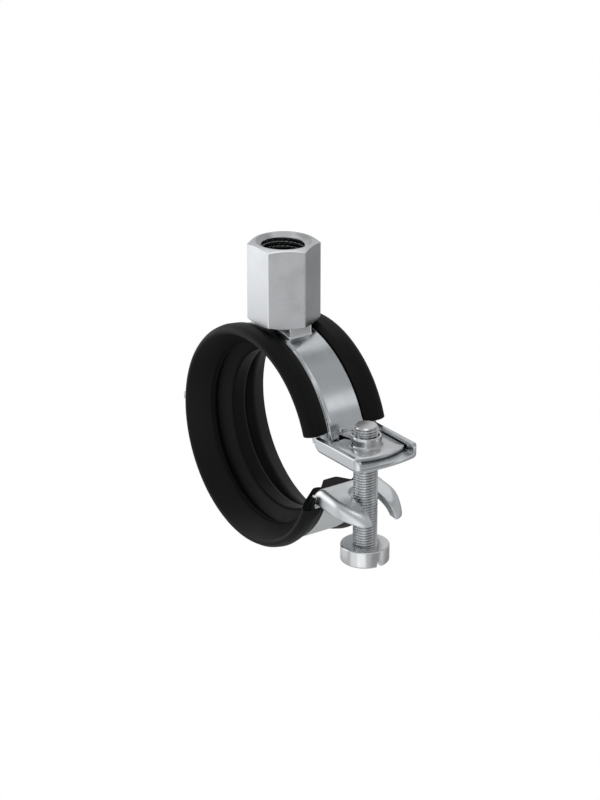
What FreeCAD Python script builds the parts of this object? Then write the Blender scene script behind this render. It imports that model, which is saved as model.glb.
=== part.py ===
import FreeCAD, Part
import math
import os

# Hinged pipe clamp, sizes in mm.  The origin is the pipe's axis at mid width.
# X points at the closing screw, Y lies along the pipe, Z points up the
# connection nut.  Angles on the ring count from +X towards +Z.

V = FreeCAD.Vector

# Sheet ring, shared by the two halves
STRAP_OUTER_R = 22.8
STRAP_THICK = 1.25
STRAP_HALF_W = 7.5
STRAP_BEND_R = 1.0

# Tab on the upper half, with an upstanding flange along each side.
# A reach is measured outwards from the ring's outer radius.
TAB_TOP_Z = 5.2
TAB_SIDE_STEP = 0.05
TAB_REACH = 13.7
TAB_END_R = 30.0
TAB_CORNER_R = 1.5
TAB_UNDER_ROUND = 0.9
FLANGE_THICK = 1.2
FLANGE_HIGH = 1.75
FLANGE_REACH = 11.3
FLANGE_END_ROUND = 1.6
FLANGE_TOP_ROUND = 0.3
FLANGE_FOOT_ROUND = 0.2
TAB_SLOT_HALF_W = 2.9
TAB_SLOT_START = 2.6
TAB_SLOT_REACH = 11.5

# Window at the bend of the tab, the pad pressed out round it and the lug over it
WINDOW_HALF_W = 2.2
WINDOW_REACH = 1.1
WINDOW_HIGH = 1.6
LUG_HALF_W = 1.75
LUG_RISE = 0.22
LUG_HIGH = 0.9
PAD_HALF_W = 4.2
PAD_RISE = 0.4
PAD_ROUND = 0.25
PAD_TOP_DEG = 50.0

# Hinge on the side away from the screw
HINGE_TOP_Z = 0.35
HINGE_SIDE_STEP = 0.3
HINGE_REACH = 4.8
HINGE_CORNER_R = 0.5
HINGE_SLOT_HALF_W = 4.3
HINGE_SLOT_START = 0.4
HINGE_SLOT_REACH = 2.9

# Hooked tongue of the lower half
SHOULDER_DROP = 0.75
TONGUE_HALF_W = 3.7
TONGUE_REACH = 1.6
TONGUE_HEAD_HALF_W = 5.6
TONGUE_HEAD_GAP = 0.6
TONGUE_HEAD_HIGH = 1.35

# Forked end of the lower half.  Each section across it is given as
# (reach, drop below the start, step in from the ring's side, radius of the turned-down edge)
FORK_TOP_Z = -4.1
FORK_SECTIONS = [(1.0, 0.1, 0.1, 1.3), (3.2, 0.38, 0.1, 1.3), (5.8, 0.8, 0.2, 1.4),
                 (8.2, 1.35, 0.9, 1.75), (9.7, 1.95, 1.55, 2.1), (10.8, 2.75, 2.2, 2.1),
                 (11.6, 3.65, 2.9, 1.8), (12.0, 4.4, 3.5, 1.3)]
FORK_RIM_HIGH = 3.3
FORK_RIM_DIP = 1.25
FORK_SLOT_HALF_W = 2.9
FORK_SLOT_START = 1.8

# Rubber liner: depths run inwards from its slot, rises run out from the ring
LINER_CLEAR = 0.15
LINER_SEAT_DEEP = 4.4
LINER_RIB_Y = 1.65
LINER_RIB_ROUND = 1.15
LINER_GROOVE_DEEP = 1.6
LINER_GROOVE_Y = 3.35
LINER_BAND_DEEP = 2.65
LINER_BAND_Y = 5.1
LINER_BAND_ROUND = 1.6
LINER_EDGE_RISE = -0.45
LINER_EDGE_Y = 10.5
LINER_EDGE_ROUND = 0.78
LINER_SHOULDER_RISE = 0.6
LINER_SHOULDER_Y = 8.8
LINER_CREST_RISE = 0.8
LINER_CREST_Y = 7.65
LINER_LIP_RISE = 0.62
LINER_LIP_MID_Y = 5.9
LINER_LIP_Y = 4.4
LINER_END_ABOVE_PLATE = 1.3
LINER_END_BELOW_FORK = 1.6
LINER_NOTCH_ABOVE_HINGE = 1.4
LINER_NOTCH_BELOW_HINGE = 2.4
LINER_FORK_NOTCH_DROP = 4.4

# Connection nut with its foot
NUT_FLATS = 13.0
NUT_HEIGHT = 16.95
NUT_LAND_R = 5.87
NUT_CORNER_TOP = 0.65
NUT_CORNER_LOW = 0.6
NUT_MOUTH_R = 5.75
NUT_MOUTH_DEEP = 0.85
BIG_THREAD_R = 4.25
BIG_THREAD_LONG = 7.5
SMALL_THREAD_R = 3.4
SMALL_THREAD_LONG = 6.4
THREAD_STEP_LONG = 0.8
FOOT_HIGH = 1.0
FOOT_HALF_X = 6.1
FOOT_HALF_Y = 2.75
FOOT_CORNER_R = 0.7

# Threaded plate that tilts in the tab
PLATE_THICK = 1.0
PLATE_SIDE_GAP = 0.25
PLATE_START = 0.9
PLATE_SIDE_REACH = 9.8
PLATE_REACH = 11.6
PLATE_CORNER_R = 0.8
COLLAR_R = 3.14
COLLAR_HIGH = 2.2
COLLAR_FLARE_R = 3.7
COLLAR_FLARE_HIGH = 0.7
PLATE_TONGUE_HALF_W = 1.7
PLATE_TONGUE_BACK = 1.15
PLATE_TONGUE_HEAD_LONG = 0.9
PLATE_TONGUE_HEAD_HALF_W = 3.2

# Closing screw
SCREW_REACH = 5.52
SCREW_R = 2.5
SCREW_CLEAR = 0.06
SCREW_TIP_ABOVE_COLLAR = 2.0
SCREW_TIP_CHAMFER = 0.6
SCREW_LENGTH = 25.75
SCREW_HEAD_R = 4.98
SCREW_HEAD_HIGH = 3.55
SCREW_HEAD_ROUND = 0.35
SCREW_SLOT_W = 1.2
SCREW_SLOT_DEEP = 1.3

# Places that follow from the sizes above
STRAP_INNER_R = STRAP_OUTER_R - STRAP_THICK
TAB_HALF_W = STRAP_HALF_W + TAB_SIDE_STEP
HINGE_HALF_W = STRAP_HALF_W - HINGE_SIDE_STEP
TAB_LOW_Z = TAB_TOP_Z - STRAP_THICK
PLATE_TOP_Z = TAB_TOP_Z + PLATE_THICK
PLATE_HALF_W = TAB_HALF_W - FLANGE_THICK - PLATE_SIDE_GAP
COLLAR_TOP_Z = PLATE_TOP_Z + COLLAR_HIGH
WINDOW_TOP_Z = TAB_TOP_Z + WINDOW_HIGH
HINGE_LOW_Z = HINGE_TOP_Z - STRAP_THICK
SHOULDER_Z = HINGE_LOW_Z - SHOULDER_DROP
FORK_UNDER_Z = FORK_TOP_Z - STRAP_THICK
SCREW_X = STRAP_OUTER_R + SCREW_REACH
SCREW_TIP_Z = COLLAR_TOP_Z + SCREW_TIP_ABOVE_COLLAR
SCREW_HEAD_TOP_Z = SCREW_TIP_Z - SCREW_LENGTH
SCREW_HEAD_LOW_Z = SCREW_HEAD_TOP_Z - SCREW_HEAD_HIGH
NUT_LOW_Z = STRAP_OUTER_R + FOOT_HIGH
NUT_TOP_Z = NUT_LOW_Z + NUT_HEIGHT
LINER_BORE_R = STRAP_INNER_R - LINER_CLEAR
LINER_OUTSIDE_R = STRAP_OUTER_R + LINER_CLEAR

# Longer than any cut through the part needs to be
PAST = 2 * STRAP_OUTER_R


def past_ring(reach):
    """An X place at a reach beyond the ring's outer radius."""
    return STRAP_OUTER_R + reach


def box(x0, x1, y0, y1, z0, z1):
    return Part.makeBox(x1 - x0, y1 - y0, z1 - z0, V(x0, y0, z0))


def cylinder(x, y, z0, z1, r):
    return Part.makeCylinder(r, z1 - z0, V(x, y, z0), V(0, 0, 1))


def cone(x, y, z0, z1, r0, r1):
    return Part.makeCone(r0, r1, z1 - z0, V(x, y, z0), V(0, 0, 1))


def about_y(r, y0, y1):
    return Part.makeCylinder(r, y1 - y0, V(0, y0, 0), V(0, 1, 0))


def on_ring(r, deg):
    t = math.radians(deg)
    return V(r * math.cos(t), 0, r * math.sin(t))


def face_of(edges):
    return Part.Face(Part.Wire(Part.__sortEdges__(edges)))


def widen(face, half_w):
    """A face in the XZ plane made into a solid of the given half width."""
    low = face.copy()
    low.translate(V(0, -half_w, 0))
    return low.extrude(V(0, 2 * half_w, 0))


def slab(points, z0, z1):
    """A straight-sided outline in plan, from z0 up to z1."""
    ring = [V(x, y, z0) for x, y in points]
    wire = Part.makePolygon(ring + ring[:1])
    return Part.Face(wire).extrude(V(0, 0, z1 - z0))


def mirror_y(shape):
    return shape.mirror(V(0, 0, 0), V(0, 1, 0))


def ring_sector(r0, r1, deg0, deg1):
    """The flat ring piece between two angles, in the XZ plane."""
    mid = (deg0 + deg1) / 2
    inner = Part.Arc(on_ring(r0, deg0), on_ring(r0, mid), on_ring(r0, deg1))
    outer = Part.Arc(on_ring(r1, deg0), on_ring(r1, mid), on_ring(r1, deg1))
    first = Part.makeLine(on_ring(r0, deg0), on_ring(r1, deg0))
    last = Part.makeLine(on_ring(r0, deg1), on_ring(r1, deg1))
    return face_of([inner.toShape(), outer.toShape(), first, last])


def bend_centre(level, side, up):
    """Centre of the bend where the ring turns out to a flat at a level.

    side is +1 at the screw and -1 at the hinge; up is +1 when the ring
    rises from the flat and -1 when it drops from it.
    """
    z = level + up * STRAP_BEND_R
    reach = STRAP_OUTER_R + STRAP_BEND_R
    return V(side * math.sqrt(reach ** 2 - z ** 2), 0, z)


def ring_angle(point):
    return math.degrees(math.atan2(point.z, point.x)) % 360


def bend_face(centre, up):
    """Quarter-ring face from the sheet ring round to the vertical."""
    to_ring = V(-centre.x, 0, -centre.z).normalize()
    to_flat = V(0, 0, -up)
    middle = (to_ring + to_flat).normalize()
    tight = STRAP_BEND_R
    wide = STRAP_BEND_R + STRAP_THICK
    inner = Part.Arc(centre + to_ring * tight, centre + middle * tight, centre + to_flat * tight)
    outer = Part.Arc(centre + to_ring * wide, centre + middle * wide, centre + to_flat * wide)
    first = Part.makeLine(centre + to_ring * tight, centre + to_ring * wide)
    last = Part.makeLine(centre + to_flat * tight, centre + to_flat * wide)
    return face_of([inner.toShape(), outer.toShape(), first, last])


def vertical_edges(shape, keep):
    found = []
    for edge in shape.Edges:
        a = edge.Vertexes[0].Point
        b = edge.Vertexes[-1].Point
        upright = abs(a.x - b.x) < 1e-6 and abs(a.y - b.y) < 1e-6 and abs(a.z - b.z) > 0.1
        if upright and keep(a):
            found.append(edge)
    return found


def tab_outline(z0, z1):
    """Plan of the tab: straight sides and an arched outer edge."""
    sides = box(STRAP_INNER_R, past_ring(PAST), -TAB_HALF_W, TAB_HALF_W, z0, z1)
    arch = cylinder(past_ring(TAB_REACH) - TAB_END_R, 0, z0, z1, TAB_END_R)
    plan = sides.common(arch)
    corners = vertical_edges(plan, lambda p: p.x > past_ring(1))
    return plan.makeFillet(TAB_CORNER_R, corners)


def flange_end():
    """Everything past the rounded outer ends of the flanges, above the tab's sheet."""
    top = TAB_TOP_Z + FLANGE_HIGH
    start = V(past_ring(FLANGE_REACH), 0, top)
    centre = start - V(0, 0, FLANGE_END_ROUND)
    middle = centre + V(1, 0, 1).normalize() * FLANGE_END_ROUND
    stop = centre + V(FLANGE_END_ROUND, 0, 0)
    low = V(stop.x, 0, TAB_TOP_Z)
    far = past_ring(PAST)
    over = TAB_TOP_Z + PAST
    turns = [low, V(far, 0, TAB_TOP_Z), V(far, 0, over), V(start.x, 0, over), start]
    sides = [Part.makeLine(a, b) for a, b in zip(turns[:-1], turns[1:])]
    sides.append(Part.Arc(start, middle, stop).toShape())
    sides.append(Part.makeLine(stop, low))
    return widen(face_of(sides), PAST)


def tray_section():
    """U section of the tab across X, its flanges rounded at top and foot."""
    low = TAB_LOW_Z - 1
    top = TAB_TOP_Z + FLANGE_HIGH
    inner = TAB_HALF_W - FLANGE_THICK
    crown = FLANGE_TOP_ROUND
    foot = FLANGE_FOOT_ROUND
    corner = 1 - math.sqrt(0.5)
    edges = []
    for s in (1, -1):
        outer_stop = V(0, s * TAB_HALF_W, top - crown)
        outer_mid = V(0, s * (TAB_HALF_W - crown * corner), top - crown * corner)
        outer_top = V(0, s * (TAB_HALF_W - crown), top)
        inner_top = V(0, s * (inner + crown), top)
        inner_mid = V(0, s * (inner + crown * corner), top - crown * corner)
        inner_stop = V(0, s * inner, top - crown)
        foot_top = V(0, s * inner, TAB_TOP_Z + foot)
        foot_mid = V(0, s * (inner - foot * corner), TAB_TOP_Z + foot * corner)
        foot_end = V(0, s * (inner - foot), TAB_TOP_Z)
        edges.append(Part.makeLine(V(0, s * TAB_HALF_W, low), outer_stop))
        edges.append(Part.Arc(outer_stop, outer_mid, outer_top).toShape())
        edges.append(Part.makeLine(outer_top, inner_top))
        edges.append(Part.Arc(inner_top, inner_mid, inner_stop).toShape())
        edges.append(Part.makeLine(inner_stop, foot_top))
        edges.append(Part.Arc(foot_top, foot_mid, foot_end).toShape())
        edges.append(Part.makeLine(foot_end, V(0, 0, TAB_TOP_Z)))
    edges.append(Part.makeLine(V(0, TAB_HALF_W, low), V(0, -TAB_HALF_W, low)))
    return face_of(edges)


def tab():
    """Tray of sheet: rounded underneath, with a flange along each side."""
    block = tab_outline(TAB_LOW_Z, TAB_TOP_Z + FLANGE_HIGH + 1)
    under = [e for e in block.Edges if lies_at(e, TAB_LOW_Z) and e.BoundBox.XMax > past_ring(1)]
    block = block.makeFillet(TAB_UNDER_ROUND, under)
    tray = block.common(tray_section().extrude(V(PAST, 0, 0))).cut(flange_end())
    start = bend_centre(TAB_TOP_Z, 1, 1).x
    tray = tray.cut(box(0, start, -PAST, PAST, 0, TAB_TOP_Z))
    return tray.cut(about_y(STRAP_OUTER_R - STRAP_THICK / 2, -PAST, PAST))


def tab_bend():
    """Quarter bend from the ring to the tab, its outer edges rounded like the tab."""
    strip = widen(bend_face(bend_centre(TAB_TOP_Z, 1, 1), 1), TAB_HALF_W)
    wide = STRAP_BEND_R + STRAP_THICK
    outer = [e for e in strip.Edges if isinstance(e.Curve, Part.Circle) and abs(e.Curve.Radius - wide) < 1e-4]
    return strip.makeFillet(TAB_UNDER_ROUND, outer)


def lies_at(edge, z):
    return abs(edge.BoundBox.ZMin - z) < 1e-4 and abs(edge.BoundBox.ZMax - z) < 1e-4


def strap_pad():
    """Broad pad pressed out of the ring, rising gently down to the tab."""
    foot = math.degrees(math.asin(TAB_TOP_Z / STRAP_OUTER_R)) - 1.5
    buried = STRAP_OUTER_R - STRAP_THICK / 2
    half_way = (PAD_TOP_DEG + foot) / 2
    top = on_ring(STRAP_OUTER_R - 0.01, PAD_TOP_DEG)
    mid = on_ring(STRAP_OUTER_R + PAD_RISE * 0.8, half_way)
    low = on_ring(STRAP_OUTER_R + PAD_RISE, foot)
    under = on_ring(buried, foot)
    under_top = on_ring(buried, PAD_TOP_DEG)
    crest = Part.Arc(top, mid, low).toShape()
    base = Part.Arc(under_top, on_ring(buried, half_way), under).toShape()
    face = face_of([crest, Part.makeLine(low, under), base, Part.makeLine(under_top, top)])
    pad = widen(face, PAD_HALF_W)
    long_crest = crest.Length
    rims = [e for e in pad.Edges if abs(e.Length - long_crest) < 1e-4]
    return pad.makeFillet(PAD_ROUND, rims)


def hinge_flange():
    start = bend_centre(HINGE_TOP_Z, -1, 1).x
    end = -past_ring(HINGE_REACH)
    plate = box(end, start, -HINGE_HALF_W, HINGE_HALF_W, HINGE_LOW_Z, HINGE_TOP_Z)
    corners = vertical_edges(plate, lambda p: p.x < end + 1)
    return plate.makeFillet(HINGE_CORNER_R, corners)


def hinge_slot():
    return box(-past_ring(HINGE_SLOT_REACH), -past_ring(HINGE_SLOT_START),
               -HINGE_SLOT_HALF_W, HINGE_SLOT_HALF_W, HINGE_LOW_Z - 1, HINGE_TOP_Z + 1)


def tab_slot():
    reach = past_ring(TAB_SLOT_REACH) - TAB_SLOT_HALF_W
    start = past_ring(TAB_SLOT_START) + TAB_SLOT_HALF_W
    z0 = TAB_LOW_Z - 1
    z1 = TAB_TOP_Z + 1
    middle = box(start, reach, -TAB_SLOT_HALF_W, TAB_SLOT_HALF_W, z0, z1)
    inner = cylinder(start, 0, z0, z1, TAB_SLOT_HALF_W)
    outer = cylinder(reach, 0, z0, z1, TAB_SLOT_HALF_W)
    return middle.fuse([inner, outer])


def window_lug():
    """Low pressed lug along the top of the window."""
    rise = about_y(STRAP_OUTER_R + PAD_RISE + LUG_RISE, -LUG_HALF_W, LUG_HALF_W)
    rise = rise.cut(about_y(STRAP_OUTER_R - STRAP_THICK / 2, -PAST, PAST))
    return rise.common(box(0, PAST, -PAST, PAST, WINDOW_TOP_Z, WINDOW_TOP_Z + LUG_HIGH))


def upper_strap():
    right = bend_centre(TAB_TOP_Z, 1, 1)
    left = bend_centre(HINGE_TOP_Z, -1, 1)
    arc = ring_sector(STRAP_INNER_R, STRAP_OUTER_R, ring_angle(right), ring_angle(left))
    ring = widen(arc, STRAP_HALF_W)
    hinge_bend = widen(bend_face(left, 1), HINGE_HALF_W)
    body = ring.fuse([tab_bend(), tab(), hinge_bend, hinge_flange(), strap_pad()])
    body = body.removeSplitter()
    window = box(0, past_ring(WINDOW_REACH), -WINDOW_HALF_W, WINDOW_HALF_W, 0, WINDOW_TOP_Z)
    body = body.cut(window).cut(hinge_slot()).cut(tab_slot())
    return body.fuse(window_lug()).removeSplitter()


def arch_wire(x, half_w, top, low, corner):
    """An upright section across X: flat top, rounded upper corners, open floor closed by a line."""
    side = top - corner
    flat = half_w - corner
    bulge = corner * math.sqrt(0.5)
    edges = [Part.makeLine(V(x, -half_w, low), V(x, -half_w, side))]
    left = Part.Arc(V(x, -half_w, side), V(x, -flat - bulge, side + bulge), V(x, -flat, top))
    edges.append(left.toShape())
    edges.append(Part.makeLine(V(x, -flat, top), V(x, flat, top)))
    right = Part.Arc(V(x, flat, top), V(x, flat + bulge, side + bulge), V(x, half_w, side))
    edges.append(right.toShape())
    edges.append(Part.makeLine(V(x, half_w, side), V(x, half_w, low)))
    edges.append(Part.makeLine(V(x, half_w, low), V(x, -half_w, low)))
    return Part.Wire(edges)


def fork_sections():
    """Sections round the bend out of the ring, then those along the fork."""
    centre = bend_centre(FORK_UNDER_Z, 1, -1)
    wide = STRAP_BEND_R + STRAP_THICK
    first = FORK_SECTIONS[0]
    turned = []
    for deg in (72, 56, 38, 18, 0):
        t = math.radians(deg)
        reach = centre.x - wide * math.sin(t) - STRAP_OUTER_R
        turned.append((reach, wide * (1 - math.cos(t)), first[2], first[3]))
    return turned + FORK_SECTIONS


def fork_block(inset, low):
    """The fork's outside as a loft through its sections, drawn in by an inset."""
    sections = fork_sections()
    first = sections[0][0]
    long = sections[-1][0] - first
    wires = []
    for reach, drop, step, corner in sections:
        x = past_ring(first + (reach - first) * (long - inset) / long)
        half_w = STRAP_HALF_W - step - inset
        tight = max(corner - inset, 0.15)
        wires.append(arch_wire(x, half_w, FORK_TOP_Z - drop - inset, low, tight))
    return Part.makeLoft(wires, True, False)


def fork_floor():
    """Everything under the turned-down edges, whose lower line dips to the tips."""
    start = FORK_TOP_Z - FORK_RIM_HIGH
    stop = start - FORK_RIM_DIP
    far = past_ring(FORK_SECTIONS[-1][0] + 1)
    outline = [(0, start), (STRAP_OUTER_R, start), (far, stop), (far, -PAST), (0, -PAST)]
    points = [V(x, 0, z) for x, z in outline]
    return widen(Part.Face(Part.makePolygon(points + points[:1])), PAST)


def fork():
    deep = FORK_TOP_Z - 2 * FORK_RIM_HIGH
    claw = fork_block(0, deep).cut(fork_block(STRAP_THICK, deep - 1))
    slot_root = past_ring(FORK_SLOT_START) + FORK_SLOT_HALF_W
    slot = box(slot_root, PAST, -FORK_SLOT_HALF_W, FORK_SLOT_HALF_W, deep, 0)
    root = cylinder(slot_root, 0, deep, 0, FORK_SLOT_HALF_W)
    return claw.cut(slot).cut(root).cut(fork_floor())


def tongue():
    """Neck of the lower half: out, up through the hinge slot, then a head."""
    inner_x = -past_ring(TONGUE_REACH) + STRAP_THICK / 2
    outer_x = inner_x - STRAP_THICK
    low = SHOULDER_Z - STRAP_THICK
    head_z = HINGE_TOP_Z + TONGUE_HEAD_GAP
    top = head_z + TONGUE_HEAD_HIGH
    ledge_end = -STRAP_INNER_R - STRAP_THICK / 3
    ledge = box(outer_x, ledge_end, -TONGUE_HALF_W, TONGUE_HALF_W, low, SHOULDER_Z)
    neck = box(outer_x, inner_x, -TONGUE_HALF_W, TONGUE_HALF_W, low, top)
    head = box(outer_x, inner_x, -TONGUE_HEAD_HALF_W, TONGUE_HEAD_HALF_W, head_z, top)
    shape = ledge.fuse([neck, head]).removeSplitter()
    heel = [e for e in shape.Edges if along_y_at(e, outer_x, low)]
    return shape.makeFillet(STRAP_THICK, heel)


def along_y_at(edge, x, z):
    a = edge.Vertexes[0].Point
    b = edge.Vertexes[-1].Point
    on_line = abs(a.x - x) < 1e-4 and abs(b.x - x) < 1e-4 and abs(a.z - z) < 1e-4 and abs(b.z - z) < 1e-4
    return on_line and abs(a.y - b.y) > 1


def lower_strap():
    right = bend_centre(FORK_UNDER_Z, 1, -1)
    stop = 180 - math.degrees(math.asin(SHOULDER_Z / STRAP_OUTER_R))
    arc = ring_sector(STRAP_INNER_R, STRAP_OUTER_R, stop, ring_angle(right))
    ring = widen(arc, STRAP_HALF_W)
    return ring.fuse([fork(), tongue()]).removeSplitter()


def rounded_line(corners):
    """Edges through (r, y, rounding) corners, each corner rounded by its arc."""
    edges = []
    here = V(corners[0][0], corners[0][1], 0)
    for before, corner, after in zip(corners[:-2], corners[1:-1], corners[2:]):
        point = V(corner[0], corner[1], 0)
        if corner[2] == 0:
            edges.append(Part.makeLine(here, point))
            here = point
            continue
        back = (V(before[0], before[1], 0) - point).normalize()
        ahead = (V(after[0], after[1], 0) - point).normalize()
        half_angle = back.getAngle(ahead) / 2
        reach = corner[2] / math.tan(half_angle)
        start = point + back * reach
        stop = point + ahead * reach
        middle = point + (back + ahead).normalize() * (corner[2] / math.sin(half_angle) - corner[2])
        edges.append(Part.makeLine(here, start))
        edges.append(Part.Arc(start, middle, stop).toShape())
        here = stop
    edges.append(Part.makeLine(here, V(corners[-1][0], corners[-1][1], 0)))
    return edges


def liner_section():
    """Half section of the rubber, from the pipe seat round to the lip."""
    seat = LINER_BORE_R - LINER_SEAT_DEEP
    side = STRAP_HALF_W + LINER_CLEAR
    skin = [(seat, 0, 0),
            (seat, LINER_RIB_Y, LINER_RIB_ROUND),
            (LINER_BORE_R - LINER_GROOVE_DEEP, LINER_GROOVE_Y, 0),
            (LINER_BORE_R - LINER_BAND_DEEP, LINER_BAND_Y, LINER_BAND_ROUND),
            (past_ring(LINER_EDGE_RISE), LINER_EDGE_Y, LINER_EDGE_ROUND),
            (past_ring(LINER_SHOULDER_RISE), LINER_SHOULDER_Y, 0),
            (past_ring(LINER_CREST_RISE), LINER_CREST_Y, 0),
            (past_ring(LINER_LIP_RISE), LINER_LIP_MID_Y, 0),
            (LINER_OUTSIDE_R, LINER_LIP_Y, 0)]
    lip = V(LINER_OUTSIDE_R, LINER_LIP_Y, 0)
    foot = V(LINER_BORE_R, 0, 0)
    turns = [lip, V(LINER_OUTSIDE_R, side, 0), V(LINER_BORE_R, side, 0), foot, V(seat, 0, 0)]
    slot = [Part.makeLine(a, b) for a, b in zip(turns[:-1], turns[1:])]
    return rounded_line(skin) + slot


def rubber_liner():
    section = face_of(liner_section())
    half = section.revolve(V(0, 0, 0), V(0, 1, 0), 360)
    whole = half.fuse(mirror_y(half)).removeSplitter()
    low_end = FORK_TOP_Z - LINER_END_BELOW_FORK
    mouth = box(0, PAST, -PAST, PAST, low_end, PLATE_TOP_Z + LINER_END_ABOVE_PLATE)
    half_w = LINER_CREST_Y
    notch = box(-PAST, 0, -half_w, half_w, HINGE_LOW_Z - LINER_NOTCH_BELOW_HINGE,
                HINGE_TOP_Z + LINER_NOTCH_ABOVE_HINGE)
    fork_gap = box(0, PAST, -half_w, half_w, FORK_TOP_Z - LINER_FORK_NOTCH_DROP, low_end + 1)
    outside = notch.fuse(fork_gap).cut(about_y(LINER_BORE_R, -PAST, PAST))
    return whole.cut(mouth).cut(outside)


def nut_prism():
    corner = NUT_FLATS / math.sqrt(3)
    points = []
    for k in range(6):
        t = math.radians(60 * k)
        points.append((corner * math.cos(t), corner * math.sin(t)))
    hexagon = slab(points, NUT_LOW_Z, NUT_TOP_Z)
    high_corner = NUT_TOP_Z - NUT_CORNER_TOP
    low_corner = NUT_LOW_Z + NUT_CORNER_LOW
    top = cone(0, 0, high_corner, NUT_TOP_Z, corner, NUT_LAND_R)
    middle = cylinder(0, 0, low_corner, high_corner, corner + 0.001)
    low = cone(0, 0, NUT_LOW_Z, low_corner, NUT_LAND_R, corner)
    return hexagon.common(low.fuse([middle, top]))


def nut_bore():
    big_top = NUT_TOP_Z - NUT_MOUTH_DEEP
    big_low = big_top - BIG_THREAD_LONG
    small_top = big_low - THREAD_STEP_LONG
    mouth = cone(0, 0, big_top, NUT_TOP_Z + 0.001, BIG_THREAD_R, NUT_MOUTH_R)
    big = cylinder(0, 0, big_low, big_top, BIG_THREAD_R)
    step = cone(0, 0, small_top, big_low, SMALL_THREAD_R, BIG_THREAD_R)
    small = cylinder(0, 0, small_top - SMALL_THREAD_LONG, small_top, SMALL_THREAD_R)
    return small.fuse([step, big, mouth])


def connection_nut():
    foot = box(-FOOT_HALF_X, FOOT_HALF_X, -FOOT_HALF_Y, FOOT_HALF_Y, 0, NUT_LOW_Z)
    foot = foot.makeFillet(FOOT_CORNER_R, vertical_edges(foot, lambda p: True))
    foot = foot.cut(about_y(STRAP_OUTER_R, -PAST, PAST))
    return nut_prism().cut(nut_bore()).fuse(foot)


def plate_outline(z0, z1):
    """Plan of the plate: straight sides and an arched outer edge."""
    start = V(past_ring(PLATE_SIDE_REACH), -PLATE_HALF_W, z0)
    stop = V(past_ring(PLATE_SIDE_REACH), PLATE_HALF_W, z0)
    arch = Part.Arc(start, V(past_ring(PLATE_REACH), 0, z0), stop).toShape()
    inner_front = V(past_ring(PLATE_START), -PLATE_HALF_W, z0)
    inner_rear = V(past_ring(PLATE_START), PLATE_HALF_W, z0)
    edges = [arch, Part.makeLine(stop, inner_rear), Part.makeLine(inner_rear, inner_front),
             Part.makeLine(inner_front, start)]
    plan = face_of(edges).extrude(V(0, 0, z1 - z0))
    return plan.makeFillet(PLATE_CORNER_R, vertical_edges(plan, lambda p: True))


def threaded_plate():
    plate = plate_outline(TAB_TOP_Z, PLATE_TOP_Z)
    collar = cylinder(SCREW_X, 0, TAB_TOP_Z, COLLAR_TOP_Z, COLLAR_R)
    flare = cone(SCREW_X, 0, PLATE_TOP_Z, PLATE_TOP_Z + COLLAR_FLARE_HIGH, COLLAR_FLARE_R, COLLAR_R)
    head_x = STRAP_INNER_R - PLATE_TONGUE_BACK
    end_x = head_x - PLATE_TONGUE_HEAD_LONG
    half_w = PLATE_TONGUE_HALF_W
    head_w = PLATE_TONGUE_HEAD_HALF_W
    tongue = box(end_x, past_ring(PLATE_START) + 1, -half_w, half_w, TAB_TOP_Z, PLATE_TOP_Z)
    head = box(end_x, head_x, -head_w, head_w, TAB_TOP_Z, PLATE_TOP_Z)
    shape = plate.fuse([collar, flare, tongue, head]).removeSplitter()
    return shape.cut(cylinder(SCREW_X, 0, 0, COLLAR_TOP_Z + 1, SCREW_R + SCREW_CLEAR))


def closing_screw():
    shank = cylinder(SCREW_X, 0, SCREW_HEAD_TOP_Z - 0.5, SCREW_TIP_Z - SCREW_TIP_CHAMFER, SCREW_R)
    shoulder = SCREW_TIP_Z - SCREW_TIP_CHAMFER
    tip = cone(SCREW_X, 0, shoulder, SCREW_TIP_Z, SCREW_R, SCREW_R - SCREW_TIP_CHAMFER)
    head = cylinder(SCREW_X, 0, SCREW_HEAD_LOW_Z, SCREW_HEAD_TOP_Z, SCREW_HEAD_R)
    rims = [e for e in head.Edges if isinstance(e.Curve, Part.Circle)]
    head = head.makeFillet(SCREW_HEAD_ROUND, rims)
    slot = box(SCREW_X - SCREW_HEAD_R, SCREW_X + SCREW_HEAD_R, -SCREW_SLOT_W / 2, SCREW_SLOT_W / 2,
               SCREW_HEAD_LOW_Z - 1, SCREW_HEAD_LOW_Z + SCREW_SLOT_DEEP)
    head = head.cut(slot)
    return head.fuse([shank, tip]).removeSplitter()


def main():
    os.makedirs("parts", exist_ok=True)
    pieces = {
        "upper_strap": upper_strap(),
        "lower_strap": lower_strap(),
        "connection_nut": connection_nut(),
        "rubber_liner": rubber_liner(),
        "threaded_plate": threaded_plate(),
        "closing_screw": closing_screw(),
    }
    for name, shape in pieces.items():
        shape.exportStep("parts/" + name + ".step")


main()
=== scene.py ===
import math

import bpy
import numpy as np
from bpy.props import FloatProperty, FloatVectorProperty, IntProperty, PointerProperty
from mathutils import Matrix, Vector


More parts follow.
